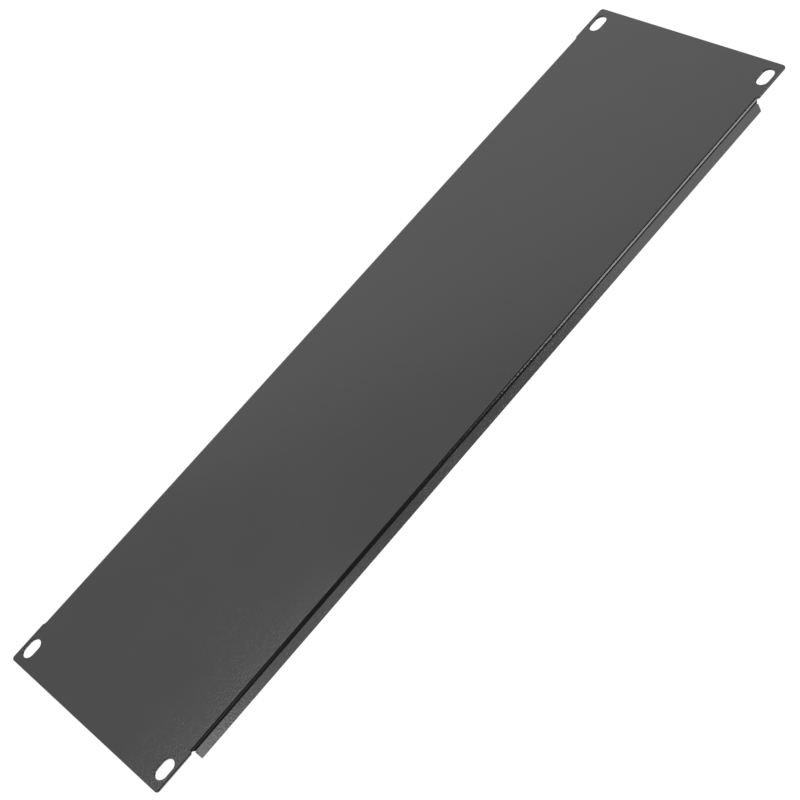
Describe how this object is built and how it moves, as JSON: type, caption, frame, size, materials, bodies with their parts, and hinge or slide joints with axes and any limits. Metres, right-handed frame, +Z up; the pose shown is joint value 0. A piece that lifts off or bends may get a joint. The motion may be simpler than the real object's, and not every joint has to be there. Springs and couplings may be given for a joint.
{
  "type": "rack blanking panel",
  "caption": "Plain panel that closes an unused opening of a 19 inch rack: one folded sheet with slotted ears and a return flange along each long edge.",
  "frame": {"origin": "middle of the mounting slots, on the back of the face, where the panel meets the rack rails", "axes": "+X along the panel, to the right seen from the room; +Y into the rack; +Z up, as the panel is bolted to a rack"},
  "size_m": [0.4826, 0.0088, 0.1324],
  "materials": {
    "powder_coat": "dark grey satin powder coat with a fine orange-peel texture"
  },
  "bodies": {
    "root": {"blanking_panel": "powder_coat"}
  },
  "joints": []
}
